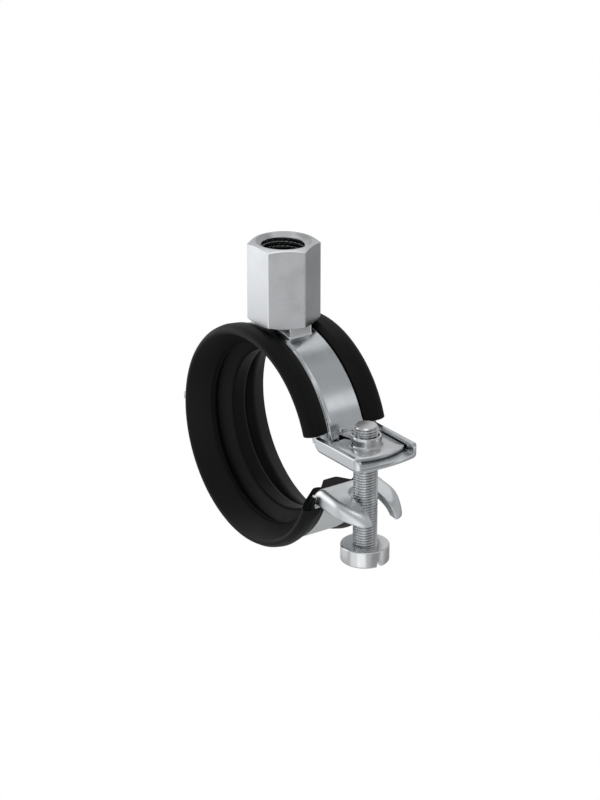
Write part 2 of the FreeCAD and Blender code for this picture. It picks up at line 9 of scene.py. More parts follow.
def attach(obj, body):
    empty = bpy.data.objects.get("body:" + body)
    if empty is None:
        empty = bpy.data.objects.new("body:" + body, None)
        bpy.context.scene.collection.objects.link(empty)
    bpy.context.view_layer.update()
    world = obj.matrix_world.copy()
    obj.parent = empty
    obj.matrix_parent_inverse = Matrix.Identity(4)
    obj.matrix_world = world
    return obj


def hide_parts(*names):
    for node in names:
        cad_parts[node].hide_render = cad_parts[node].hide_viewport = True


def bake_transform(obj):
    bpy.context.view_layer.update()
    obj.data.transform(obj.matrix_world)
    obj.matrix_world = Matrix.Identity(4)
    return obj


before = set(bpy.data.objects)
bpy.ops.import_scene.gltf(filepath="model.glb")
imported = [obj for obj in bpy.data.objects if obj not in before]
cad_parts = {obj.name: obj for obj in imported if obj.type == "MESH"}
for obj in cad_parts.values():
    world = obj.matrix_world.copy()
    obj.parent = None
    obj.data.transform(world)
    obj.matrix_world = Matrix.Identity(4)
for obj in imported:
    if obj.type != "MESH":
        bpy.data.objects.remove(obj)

bl_info = {
    "name": "Hinged pipe clamp",
    "version": (1, 0, 0),
    "blender": (4, 5, 0),
    "location": "View3D > Sidebar > Clamp",
    "description": "Detailed pieces, finishes and studio for the hinged pipe clamp",
    "category": "Object",
}

MM = 0.001
# A point this near a side or the middle line, in mm, counts as on it.
TOUCH = 0.01


def linear(hex_colour):
    """A linear colour from an sRGB hex string."""
    value = [int(hex_colour[k:k + 2], 16) / 255 for k in (1, 3, 5)]
    return [v / 12.92 if v <= 0.04045 else ((v + 0.055) / 1.055) ** 2.4 for v in value] + [1.0]


# Settings

class ClampLinerSettings(bpy.types.PropertyGroup):
    """Sizes of the rubber liner."""
    seat: FloatProperty(name="Seat radius", description="Crest of the middle rib, mm", default=17.0)
    around: IntProperty(name="Around", description="Grid rows round the ring", default=300)


class ClampScrewSettings(bpy.types.PropertyGroup):
    """Sizes of the closing screw."""
    pitch: FloatProperty(name="Pitch", description="Thread pitch, mm", default=0.57)
    crest: FloatProperty(name="Crest radius", description="Outside of the thread, mm", default=2.48)
    root: FloatProperty(name="Root radius", description="Bottom of the thread, mm", default=2.06)


class ClampNutSettings(bpy.types.PropertyGroup):
    """Sizes of the connection nut."""
    flats: FloatProperty(name="Across flats", description="Width across flats, mm", default=13.0)
    pitch: FloatProperty(name="Pitch", description="Pitch of the wide thread, mm", default=0.95)


class ClampFinishSettings(bpy.types.PropertyGroup):
    """Colours that the finishes share, among them the painted shade and the painted highlight."""
    # Painted shade: a grey laid over the plating in crevices and under or between parts, where shade falls.
    shade: FloatVectorProperty(name="Shade", description="Grey film in the crevices of the plating",
                              subtype="COLOR", size=4, min=0, max=1, default=linear("#2f3133"))
    # Painted highlight: a near white laid on the plating's edges and thread crests, where light glints.
    highlit: FloatVectorProperty(name="Highlit edge", description="Edges of the plating, painted bright",
                              subtype="COLOR", size=4, min=0, max=1, default=linear("#f6f7f8"))
    rubber: FloatVectorProperty(name="Rubber", description="Darker patches of the rubber",
                                subtype="COLOR", size=4, min=0, max=1, default=linear("#0c0c0d"))
    bloom: FloatVectorProperty(name="Rubber bloom", description="Paler patches of the rubber",
                               subtype="COLOR", size=4, min=0, max=1, default=linear("#121213"))


class ClampStageSettings(bpy.types.PropertyGroup):
    """Where the camera stands, and its lens."""
    azimuth: FloatProperty(name="Azimuth", description="Camera azimuth", subtype="ANGLE",
                           default=math.radians(54.903))
    elevation: FloatProperty(name="Elevation", description="Camera elevation", subtype="ANGLE",
                             default=math.radians(22.402))
    distance: FloatProperty(name="Distance", description="Camera distance", unit="LENGTH", default=0.51462)
    lens: FloatProperty(name="Lens", description="Focal length, mm on a 36 mm long side", default=111.826)


# Lines and ramps

def ramp(value, start, stop):
    """0 before start, 1 after stop and a straight line between them."""
    return np.clip((value - start) / (stop - start), 0, 1)


def rounded_line(corners, steps):
    """Points of a line through (a, b, rounding) corners, each corner drawn as an arc.

    The arc touches both sides at rounding over the tangent of half the corner,
    and runs between the two touching points as seen from its centre.
    """
    corner = np.asarray(corners, float)
    point, rounding = corner[1:-1, :2], corner[1:-1, 2:]
    back = corner[:-2, :2] - point
    ahead = corner[2:, :2] - point
    back /= np.linalg.norm(back, axis=1, keepdims=True)
    ahead /= np.linalg.norm(ahead, axis=1, keepdims=True)
    half = np.arccos(np.sum(back * ahead, axis=1, keepdims=True)) / 2
    inward = (back + ahead) / np.linalg.norm(back + ahead, axis=1, keepdims=True)
    centre = point + inward * rounding / np.sin(half)
    start = point + back * rounding / np.tan(half) - centre
    stop = point + ahead * rounding / np.tan(half) - centre
    sweep = (np.pi - 2 * half)[:, None, :]
    t = np.linspace(0, 1, steps)[None, :, None]
    arc = (np.sin((1 - t) * sweep) * start[:, None] + np.sin(t * sweep) * stop[:, None]) / np.sin(sweep)
    drawn = (centre[:, None] + arc).reshape(-1, 2)
    return np.vstack([corner[:1, :2], drawn, corner[-1:, :2]])


def around_z(radius, height, angle, x=0.0):
    """Points at cylinder coordinates about a vertical axis at x."""
    return np.stack([x + radius * np.cos(angle), radius * np.sin(angle), height + 0 * angle], axis=-1)


def thread_wave(phase, crest=0.14, root=0.22):
    """Thread height over one pitch: a flat root, straight flanks and a flat crest, 0 to 1."""
    saw = np.abs((phase % 1.0) * 2 - 1)
    return ramp(saw, root, 1 - crest)


def stacked(rows):
    """The grid and its painted highlight from a list of (ring, painted highlight) pairs."""
    rings, highlight = zip(*rows)
    return np.stack(rings), np.stack(highlight)


# Meshes

def grid_faces(rows, columns, wrap_rows, wrap_columns):
    """Quads between the neighbouring points of a grid, as index rows."""
    r = np.arange(rows if wrap_rows else rows - 1)
    c = np.arange(columns if wrap_columns else columns - 1)
    r, c = np.meshgrid(r, c, indexing="ij")
    r2 = (r + 1) % rows
    c2 = (c + 1) % columns
    quads = np.stack([r * columns + c, r2 * columns + c, r2 * columns + c2, r * columns + c2], axis=-1)
    return quads.reshape(-1, 4)


def add_object(name, points, faces, sharp_deg=35.0):
    """A smooth-shaded object from points in mm and face index lists."""
    mesh = bpy.data.meshes.new(name)
    mesh.from_pydata((np.asarray(points) * MM).tolist(), [], faces)
    mesh.update()
    mesh.shade_smooth()
    mesh.set_sharp_from_angle(angle=math.radians(sharp_deg))
    obj = bpy.data.objects.new(name, mesh)
    bpy.context.scene.collection.objects.link(obj)
    return obj


def add_grid(name, grid, wrap_rows=False, wrap_columns=False, sharp_deg=35.0, edge=None):
    """A grid surface of shape (rows, columns, 3); open row ends are capped.

    The edge array gives each point's painted highlight, 0 to 1, as an attribute for the finish.
    """
    rows, columns = grid.shape[:2]
    faces = grid_faces(rows, columns, wrap_rows, wrap_columns).tolist()
    if wrap_columns and not wrap_rows:
        faces.append(list(range(columns)))
        faces.append([(rows - 1) * columns + k for k in range(columns - 1, -1, -1)])
    obj = add_object(name, grid.reshape(-1, 3), faces, sharp_deg)
    if edge is not None:
        highlight = obj.data.attributes.new("edge", "FLOAT", "POINT")
        highlight.data.foreach_set("value", np.asarray(edge, dtype=np.float32).ravel())
    outward(obj)
    return obj


def outward(obj):
    """Turn the faces outwards when the enclosed volume comes out negative."""
    mesh = obj.data
    corner = np.empty(len(mesh.vertices) * 3)
    mesh.vertices.foreach_get("co", corner)
    corner = corner.reshape(-1, 3)
    mesh.calc_loop_triangles()
    tri = np.empty(len(mesh.loop_triangles) * 3, dtype=np.int32)
    mesh.loop_triangles.foreach_get("vertices", tri)
    a, b, c = (corner[tri.reshape(-1, 3)[:, k]] for k in range(3))
    if np.einsum("ij,ij->", a, np.cross(b, c)) < 0:
        mesh.flip_normals()


def join(name, *objects):
    """One object from several, in the first one's place."""
    bpy.ops.object.select_all(action="DESELECT")
    for obj in objects:
        obj.select_set(True)
    bpy.context.view_layer.objects.active = objects[0]
    bpy.ops.object.join()
    joined = bpy.context.view_layer.objects.active
    joined.name = name
    joined.data.name = name
    return joined


def cut(obj, cutter):
    """The object less the cutter, as its new mesh."""
    difference = obj.modifiers.new("cut", "BOOLEAN")
    difference.operation = "DIFFERENCE"
    difference.solver = "EXACT"
    difference.object = cutter
    graph = bpy.context.evaluated_depsgraph_get()
    mesh = bpy.data.meshes.new_from_object(obj.evaluated_get(graph))
    obj.modifiers.clear()
    obj.data = mesh
    bpy.data.objects.remove(cutter)


def block(name, low, high):
    """A plain box between two corners, in mm, for cutting with."""
    x, y, z = np.meshgrid(*zip(low, high), indexing="ij")
    points = np.column_stack([x.ravel(), y.ravel(), z.ravel()])
    faces = [(0, 1, 3, 2), (4, 6, 7, 5), (0, 4, 5, 1), (2, 3, 7, 6), (0, 2, 6, 4), (1, 5, 7, 3)]
    return add_object(name, points, faces)


# Finishes

# Pattern cells per metre.  Plating clouds are about 4 mm across and the rubber's
# patches about 5.5 mm.  Real drawing lines are about 0.05 mm apart and are drawn
# 0.4 mm apart, and the rubber's pores are drawn 0.2 mm apart, coarser than the
# real ones, so that both show.
PLATING_CLOUDS = 260.0
DRAWN_LINES = 2600.0
RUBBER_PATCHES = 180.0
RUBBER_PORES = 5200.0
# Depth of the lines and pores, mm.
SKIN_DEPTH = 0.02
# How far the painted shade's edge is spread, as a share of open air.
SHADE_FADE = 0.45
# The shoulder is centred a little off the middle and stops where the tab starts.
SHOULDER_MIDDLE_Y = 0.3
TAB_START_X = 21.3


def node(tree, kind, inputs=None, **settings):
    """One node with its settings; an input is a value or another node's socket."""
    made = tree.nodes.new(kind)
    for key, value in settings.items():
        setattr(made, key, value)
    for key, value in (inputs or {}).items():
        if isinstance(value, bpy.types.NodeSocket):
            tree.links.new(value, made.inputs[key])
        else:
            made.inputs[key].default_value = value
    return made


def new_material(name):
    """An empty material and its node tree."""
    material = bpy.data.materials.new(name)
    material.use_nodes = True
    material.node_tree.nodes.clear()
    return material, material.node_tree


def finish_with(obj, material):
    """The object's only material, in its first slot."""
    obj.data.materials.clear()
    obj.data.materials.append(material)


def edge_highlight(tree, edge_mm, bump):
    """Painted highlight where the rounded normal leaves the true one; the rounded normal also goes to the
    bump.
    """
    rounded = node(tree, "ShaderNodeBevel", {"Radius": edge_mm * MM}, samples=6).outputs["Normal"]
    tree.links.new(rounded, bump.inputs["Normal"])
    true = node(tree, "ShaderNodeNewGeometry").outputs["Normal"]
    same = node(tree, "ShaderNodeVectorMath", {0: rounded, 1: true}, operation="DOT_PRODUCT")
    return node(tree, "ShaderNodeMapRange", {"Value": same.outputs["Value"], "From Min": 0.99,
                                             "From Max": 0.90}).outputs["Result"]


def shoulder_normal(tree, place, normal, start, stop, drop):
    """The normal of a surface that falls by drop between start and stop, mm from the strip's middle."""
    spot = node(tree, "ShaderNodeSeparateXYZ", {"Vector": place})
    off = node(tree, "ShaderNodeMath", {0: spot.outputs["Y"], 1: SHOULDER_MIDDLE_Y * MM},
               operation="SUBTRACT")
    side = node(tree, "ShaderNodeMath", {0: off.outputs["Value"]}, operation="ABSOLUTE")
    fall = node(tree, "ShaderNodeMapRange",
                {"Value": side.outputs["Value"], "From Min": start * MM, "From Max": stop * MM, "To Min": 1.0,
                 "To Max": 0.0}, interpolation_type="SMOOTHSTEP")
    tab = node(tree, "ShaderNodeMath", {0: spot.outputs["X"], 1: TAB_START_X * MM}, operation="GREATER_THAN")
    height = node(tree, "ShaderNodeMath", {0: fall.outputs["Result"], 1: tab.outputs["Value"]},
                  operation="MAXIMUM")
    return node(tree, "ShaderNodeBump", {"Strength": 1.0, "Distance": drop * MM, "Normal": normal,
                                         "Height": height.outputs["Value"]}).outputs["Normal"]


def zinc_steel(name, colour, roughness, grain=(1.0, 1.0, 1.0), dull=0.08, edge_mm=0.0, crevice_mm=0.5,
               shade_level=0.30, grain_depth=0.06, shoulder=None):
    """Bright zinc plating on steel, which the eye reads as a cool, slightly uneven mirror.

    Clouds shift its colour and roughness, and a fine grain follows the way the
    steel was drawn.  Edges get a painted highlight, a near white, and crevices
    and places under or between parts get a painted shade, a grey that ambient
    occlusion lays on.  The highlighted points come from the mesh's edge attribute
    or, with edge_mm, from the edges themselves.  A shoulder of (start, stop, drop)
    mm rolls the strip's surface down beside the rubber.
    """
    colours = bpy.context.scene.clamp_finish
    material, tree = new_material(name)
    place = node(tree, "ShaderNodeTexCoord").outputs["Object"]
    stretch = node(tree, "ShaderNodeMapping", {"Vector": place, "Scale": grain})
    cloud = node(tree, "ShaderNodeTexNoise", {"Vector": place, "Scale": PLATING_CLOUDS, "Detail": 3.0,
                                              "Roughness": 0.55}).outputs["Fac"]
    fine = node(tree, "ShaderNodeTexNoise", {"Vector": stretch.outputs["Vector"], "Scale": DRAWN_LINES,
                                             "Detail": 2.0, "Roughness": 0.6})
    rough = node(tree, "ShaderNodeMapRange", {"Value": cloud, "From Min": 0.3, "From Max": 0.7,
                                              "To Min": roughness - dull * 0.5, "To Max": roughness + dull})
    tint = node(tree, "ShaderNodeMix", {"Factor": cloud, "A": linear(colour[0]), "B": linear(colour[1])},
                data_type="RGBA")
    # Painted shade: ambient occlusion within crevice_mm lays the grey over crevices and places under or
    # between parts.
    open_air = node(tree, "ShaderNodeAmbientOcclusion", {"Distance": crevice_mm * MM}, samples=8,
                    only_local=False)
    unshaded = node(tree, "ShaderNodeMapRange", {"Value": open_air.outputs["AO"], "From Min": shade_level,
                                              "From Max": shade_level + SHADE_FADE})
    shade = node(tree, "ShaderNodeMix", {"Factor": unshaded.outputs["Result"], "A": colours.shade,
                                        "B": tint.outputs["Result"]}, data_type="RGBA")
    bump = node(tree, "ShaderNodeBump", {"Strength": grain_depth, "Distance": SKIN_DEPTH * MM,
                                         "Height": fine.outputs["Fac"]})
    # Painted highlight: edges get a near white, from the rounded normal or from the mesh's edge attribute.
    if edge_mm > 0:
        highlight = edge_highlight(tree, edge_mm, bump)
    else:
        highlight = node(tree, "ShaderNodeAttribute", attribute_name="edge").outputs["Fac"]
    normal = bump.outputs["Normal"]
    if shoulder:
        normal = shoulder_normal(tree, place, normal, *shoulder)
    highlit = node(tree, "ShaderNodeMix", {"Factor": highlight, "A": shade.outputs["Result"], "B": colours.highlit},
                data_type="RGBA")
    surface = node(tree, "ShaderNodeBsdfPrincipled", {"Base Color": highlit.outputs["Result"], "Metallic": 1.0,
                                                      "Roughness": rough.outputs["Result"], "Normal": normal})
    node(tree, "ShaderNodeOutputMaterial", {"Surface": surface.outputs["BSDF"]})
    return material


def black_rubber(name, roughness):
    """Extruded rubber, which the eye reads as near black with a soft, wide sheen.

    Its skin has faint patches and a fine pore.  Its sheen is kept weak, as on
    rubber with a thin dull bloom.
    """
    colours = bpy.context.scene.clamp_finish
    material, tree = new_material(name)
    place = node(tree, "ShaderNodeTexCoord").outputs["Object"]
    cloud = node(tree, "ShaderNodeTexNoise", {"Vector": place, "Scale": RUBBER_PATCHES, "Detail": 3.0,
                                              "Roughness": 0.6}).outputs["Fac"]
    fine = node(tree, "ShaderNodeTexNoise", {"Vector": place, "Scale": RUBBER_PORES, "Detail": 2.0,
                                             "Roughness": 0.5})
    tint = node(tree, "ShaderNodeMix", {"Factor": cloud, "A": colours.rubber, "B": colours.bloom},
                data_type="RGBA")
    rough = node(tree, "ShaderNodeMapRange", {"Value": cloud, "From Min": 0.3, "From Max": 0.7,
                                              "To Min": roughness - 0.04, "To Max": roughness + 0.05})
    bump = node(tree, "ShaderNodeBump", {"Strength": 0.12, "Distance": SKIN_DEPTH * MM,
                                         "Height": fine.outputs["Fac"]})
    surface = node(tree, "ShaderNodeBsdfPrincipled", {"Base Color": tint.outputs["Result"], "IOR": 1.30,
                                                      "Specular IOR Level": 0.38,
                                                      "Roughness": rough.outputs["Result"],
                                                      "Normal": bump.outputs["Normal"]})
    node(tree, "ShaderNodeOutputMaterial", {"Surface": surface.outputs["BSDF"]})
    return material


# Rubber liner

# Corners of half the section from the rib's flank out to the lip over the sheet,
# as radius, distance from the middle and rounding; then the slot for the sheet.
LINER_RIB_Y = 1.65
LINER_RIB_ROUND = 1.0
LINER_ARC_STEPS = 9
LINER_SKIN = [(19.8, 3.35, 0.12), (18.75, 5.1, 1.4), (22.35, 10.5, 0.78), (23.4, 8.8, 0.9),
              (23.6, 7.65, 0.9), (23.42, 5.9, 1.0), (22.98, 4.5, 0.06), (22.9, 4.5, 0.0)]
LINER_SLOT = [(22.83, 4.6), (22.83, 7.52), (21.52, 7.52), (21.52, 0.0)]
# Heights of the two cut ends, and how much lower the far side and the near bead end.
LINER_TOP_Z = 7.5
LINER_LOW_Z = -5.7
LINER_FAR_DROP = 1.7
LINER_FAR_Y = (4.5, 7.5)
LINER_BEAD_DROP = 2.8
LINER_BEAD_R = (21.3, 22.2)
LINER_BEAD_Y = (5.0, 7.0)
# Angles round the ring in degrees: where the liner starts, how far it runs, and the
# notches at the hinge and the fork, where the lip is cut away.
LINER_START = 20
LINER_SWEEP = 327
LINER_NOTCHES = [(175.6, 188.2), (338.1, 360.0)]
# In a notch, whatever is outside the bare radius moves out to the side wall.
LINER_BARE_R = 21.45
LINER_WALL_Y = 7.65
# On the lower half the lip reaches less far over the sheet: by how much, the angles
# over which that comes in, and the points that it moves.
LINER_LOW_LIP = 0.9
LINER_LOW_LIP_FROM = (190, 210)
LINER_LIP_R = 22.85
LINER_LIP_Y = (4.0, 6.2)


def liner_grid(rows, seat):
    """Closed rubber section swept round the ring, as (angle, section) rows.

    A section point at ring radius r runs from the angle whose sine is the top
    cut over r, over the top and the hinge, to the angle whose sine is the low
    cut over r, so both ends are level.  In a notch the points of the lip move
    out to the side wall.
    """
    skin = rounded_line([(seat, 0.0, 0.0), (seat, LINER_RIB_Y, LINER_RIB_ROUND)] + LINER_SKIN,
                        LINER_ARC_STEPS)
    half = np.vstack([skin, LINER_SLOT])
    other = half[-2:0:-1] * [1, -1]
    radius, side = np.vstack([half, other]).T
    far = ramp(side, *LINER_FAR_Y)
    bead = ramp(radius, *LINER_BEAD_R) * ramp(-side, *LINER_BEAD_Y)
    low = LINER_LOW_Z - LINER_FAR_DROP * far * far * (3 - 2 * far) - LINER_BEAD_DROP * bead
    start = np.degrees(np.arcsin(LINER_TOP_Z / radius))
    stop = 360 - np.degrees(np.arcsin(-low / radius))
    cuts = np.array(LINER_NOTCHES).ravel()
    edges = (cuts[cuts < LINER_START + LINER_SWEEP] - LINER_START) / LINER_SWEEP
    hair = 0.0002
    t = np.unique(np.concatenate([np.linspace(0, 1, rows), edges - hair, edges + hair]))[:, None]
    angle = np.radians(start + (stop - start) * t)
    nominal = LINER_START + LINER_SWEEP * t
    notch = np.zeros_like(nominal, dtype=bool)
    for first, last in LINER_NOTCHES:
        notch |= (nominal > first) & (nominal < last)
    reach = np.abs(side)
    cut_away = notch & (radius > LINER_BARE_R) & (reach > TOUCH)
    y = np.where(cut_away, np.sign(side) * np.maximum(reach, LINER_WALL_Y), side)
    lip = (radius > LINER_LIP_R) & (reach > LINER_LIP_Y[0]) & (reach < LINER_LIP_Y[1])
    y = y + np.sign(side) * lip * ramp(nominal, *LINER_LOW_LIP_FROM) * LINER_LOW_LIP
    return np.stack([radius * np.cos(angle), y, radius * np.sin(angle)], axis=-1)


class CLAMP_OT_liner(bpy.types.Operator):
    """Make the rubber liner"""
    bl_idname = "clamp.liner"
    bl_label = "Rubber liner"

    def execute(self, context):
        settings = context.scene.clamp_liner
        grid = liner_grid(settings.around, settings.seat)
        liner = add_grid("liner_rubber_profile", grid, wrap_columns=True, sharp_deg=42)
        finish_with(liner, black_rubber("black_rubber", 0.46))
        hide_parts("rubber_liner")
        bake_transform(liner)
        return {"FINISHED"}


# Closing screw

SCREW_X = 28.32
SCREW_TIP_Z = 10.4
SCREW_TIP_R = 2.08
SCREW_TIP_SLOPE = 0.9
SCREW_FACE_DROP = 0.04
SCREW_CROWN = 0.012
SCREW_SINK = 0.2
# The shank widens by the slope times the depth below the flare's top, up to its most.
SCREW_FLARE_HIGH = 0.15
SCREW_FLARE_MOST = 0.3
SCREW_FLARE_SLOPE = 0.8
# The thread comes in over this height to either side of the head's top.
SCREW_RUN_OUT = 0.1
TIP_SHARES = (0.97, 0.85, 0.6, 0.3, 0.03)
SHANK_ROWS = 760
SHANK_SIDES = 72
HEAD_SIDES = 96
HEAD_TOP_Z = -15.35
HEAD_LOW_Z = -18.9
HEAD_R = 4.98
HEAD_TOP_ROUND = 0.3
HEAD_LOW_ROUND = 0.4
HEAD_LOW_RING_R = HEAD_R - 2.0
HEAD_TOP_RING_R = 2.2
HEAD_SHARP_DEG = 40
HEAD_SLOT_HALF_W = 0.6
HEAD_SLOT_DEEP = 1.3
HEAD_SLOT_REACH = 6
# Painted highlight on a rounded edge, where 1 is the full highlight colour.
EDGE_HIGHLIGHT = 0.9
# Radius of the ring of points that closes a disc at its middle.
PIN_R = 0.05


def screw_shank(settings):
    """Cylinder whose radius follows a helix: the wave of height over pitch less angle over a turn.

    The thread runs out at the head, where the shank has a small flare.  A cone
    breaks the tip, and the tip's face rises to its middle by the crown times
    one less the square of the share of its radius.
    """
    face_z = SCREW_TIP_Z - SCREW_FACE_DROP
    z = np.linspace(HEAD_TOP_Z - SCREW_SINK, face_z, SHANK_ROWS)[:, None]
    angle = np.linspace(0, 2 * np.pi, SHANK_SIDES, endpoint=False)[None, :]
    wave = thread_wave(z / settings.pitch - angle / (2 * np.pi))
    cut_in = ramp(z, HEAD_TOP_Z - SCREW_RUN_OUT, HEAD_TOP_Z + SCREW_RUN_OUT)
    radius = settings.root + (settings.crest - settings.root) * (1 - (1 - wave) * cut_in)
    radius = np.minimum(radius, SCREW_TIP_R + (SCREW_TIP_Z - z) * SCREW_TIP_SLOPE)
    radius = radius + np.clip(HEAD_TOP_Z + SCREW_FLARE_HIGH - z, 0, SCREW_FLARE_MOST) * SCREW_FLARE_SLOPE
    shank = around_z(radius, z + 0 * angle, angle + 0 * z, SCREW_X)
    centre = np.array([SCREW_X, 0, face_z])
    share = np.array(TIP_SHARES)[:, None, None]
    crown = centre + (shank[-1] - centre) * share + [0, 0, SCREW_CROWN] * (1 - share * share)
    return np.concatenate([shank, crown])


def lathe(name, profile, steps, x=0.0, sharp_deg=35.0):
    """A profile of (radius, height, painted highlight) turned about a vertical axis at x."""
    line = np.asarray(profile, float)
    angle = np.linspace(0, 2 * np.pi, steps, endpoint=False)[None, :]
    grid = around_z(line[:, :1], line[:, 1:2] + 0 * angle, angle + 0 * line[:, :1], x)
    return add_grid(name, grid, wrap_columns=True, sharp_deg=sharp_deg, edge=line[:, 2:] + 0 * angle)


def arc_points(centre, radius, start_deg, stop_deg, count):
    """Points of an arc in a (radius, height, painted highlight) profile, most highlighted at its middle."""
    t = np.radians(np.linspace(start_deg, stop_deg, count))
    highlight = EDGE_HIGHLIGHT * np.sin(np.linspace(0, np.pi, count))
    return np.column_stack([centre[0] + radius * np.cos(t), centre[1] + radius * np.sin(t), highlight])


def slotted_head():
    """The turned head with its slot cut across."""
    low, high = HEAD_LOW_ROUND, HEAD_TOP_ROUND
    profile = np.vstack([[(PIN_R, HEAD_LOW_Z, 0), (HEAD_LOW_RING_R, HEAD_LOW_Z, 0)],
                         arc_points((HEAD_R - low, HEAD_LOW_Z + low), low, -90, 0, 7),
                         arc_points((HEAD_R - high, HEAD_TOP_Z - high), high, 0, 90, 6),
                         [(HEAD_TOP_RING_R, HEAD_TOP_Z, 0), (PIN_R, HEAD_TOP_Z, 0)]])
    head = lathe("screw_head", profile, HEAD_SIDES, SCREW_X, HEAD_SHARP_DEG)
    low_corner = (SCREW_X - HEAD_SLOT_REACH, -HEAD_SLOT_HALF_W, HEAD_LOW_Z - 1)
    high_corner = (SCREW_X + HEAD_SLOT_REACH, HEAD_SLOT_HALF_W, HEAD_LOW_Z + HEAD_SLOT_DEEP)
    cut(head, block("slot", low_corner, high_corner))
    head.data.shade_smooth()
    head.data.set_sharp_from_angle(angle=math.radians(HEAD_SHARP_DEG))
    return head


class CLAMP_OT_screw(bpy.types.Operator):
    """Make the closing screw"""
    bl_idname = "clamp.screw"
    bl_label = "Closing screw"

    def execute(self, context):
        grid = screw_shank(context.scene.clamp_screw)
        shank = add_grid("screw_shank", grid, wrap_columns=True, sharp_deg=30)
        screw = join("screw_threaded_shank_and_head", shank, slotted_head())
        # The screw's steel gets painted shade in the thread roots.
        steel = zinc_steel("zinc_steel_screw", ("#e3e5e7", "#ecedee"), 0.20, (1.0, 1.0, 0.03),
                           crevice_mm=0.33, shade_level=0.25, grain_depth=0.4)
        finish_with(screw, steel)
        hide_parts("closing_screw")
        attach(screw, "screw")
        return {"FINISHED"}


# Connection nut

NUT_LOW_Z = 23.8
NUT_TOP_Z = 40.75
NUT_EDGE_R = 0.25
LAND_R = 5.87
LOW_RING_R = LAND_R - 0.3
CHAMFER_SLOPE = 0.65 / (7.506 - LAND_R)
LOW_CHAMFER_SHARE = 0.92
MOUTH_R = 5.75
MOUTH_DEEP = 0.95
MOUTH_LOW_R = 4.15
WIDE_ROOT_R = 4.95
WIDE_CREST_R = 4.27
# The wide thread has close rows down to where the eye reaches, and wider ones below.
WIDE_TOP_Z = NUT_TOP_Z - 0.02
WIDE_SEEN_Z = 37.0
WIDE_DEEP_Z = WIDE_SEEN_Z - 0.07
WIDE_END_Z = 32.6
WIDE_SEEN_ROWS = 110
WIDE_DEEP_ROWS = 80
WIDE_START_TURN = 0.3
# Share of the wave's height from which its crest gets a painted highlight.
HIGHLIGHT_FROM = 0.97
NUT_SIDES = 144
NUT_SIDE_SHARES = (0.005, 0.2, 0.4, 0.6, 0.8, 0.995)
# Angles from a corner in radians: how far its close columns reach, and where its
# painted highlight starts to fade and ends.
NUT_CORNER = 0.021
NUT_HIGHLIGHT = (0.0072, 0.0192)
# Least painted highlight of the edges below, above and at the mouth.
LOW_EDGE_HIGHLIGHT = 0.5
TOP_EDGE_HIGHLIGHT = 0.7
MOUTH_HIGHLIGHT = 0.5
NARROW_R = 3.4
NARROW_TOP_Z = 31.6
NARROW_END_Z = 25.2
NARROW_TIP_Z = NARROW_END_Z - 0.2
FOOT_HALF_X = 6.1
FOOT_HALF_Y = 2.75
FOOT_CORNER = 0.3
FOOT_SINK = 0.1
FOOT_TOP_Z = NUT_LOW_Z + 0.2
FOOT_COLUMNS = 140
RING_R = 22.8
# Share of the foot's height, how far it spreads there, and its painted highlight.
FOOT_ROWS = ((0.0, 0.12, 1.0), (0.10, 0.12, 1.0), (0.18, 0.05, 0.9), (0.24, 0.0, 0.6), (0.9, 0.0, 0.6),
             (1.0, 0.0, 0.5))


def hexagon_radius(angle, flats):
    """Distance from the axis to a hexagon's side, with rounded corners."""
    from_corner = (angle + np.pi / 6) % (np.pi / 3) - np.pi / 6
    side = flats / 2 / np.cos(np.abs(from_corner) - np.pi / 6)
    centre = (flats / 2 - NUT_EDGE_R) / math.cos(math.pi / 6)
    touch = math.pi / 6 - math.atan2(centre / 2, flats / 2)
    near = np.clip(from_corner, -touch, touch)
    arc = centre * np.cos(near) + np.sqrt(NUT_EDGE_R ** 2 - (centre * np.sin(near)) ** 2)
    return np.where(np.abs(from_corner) < touch, arc, side)


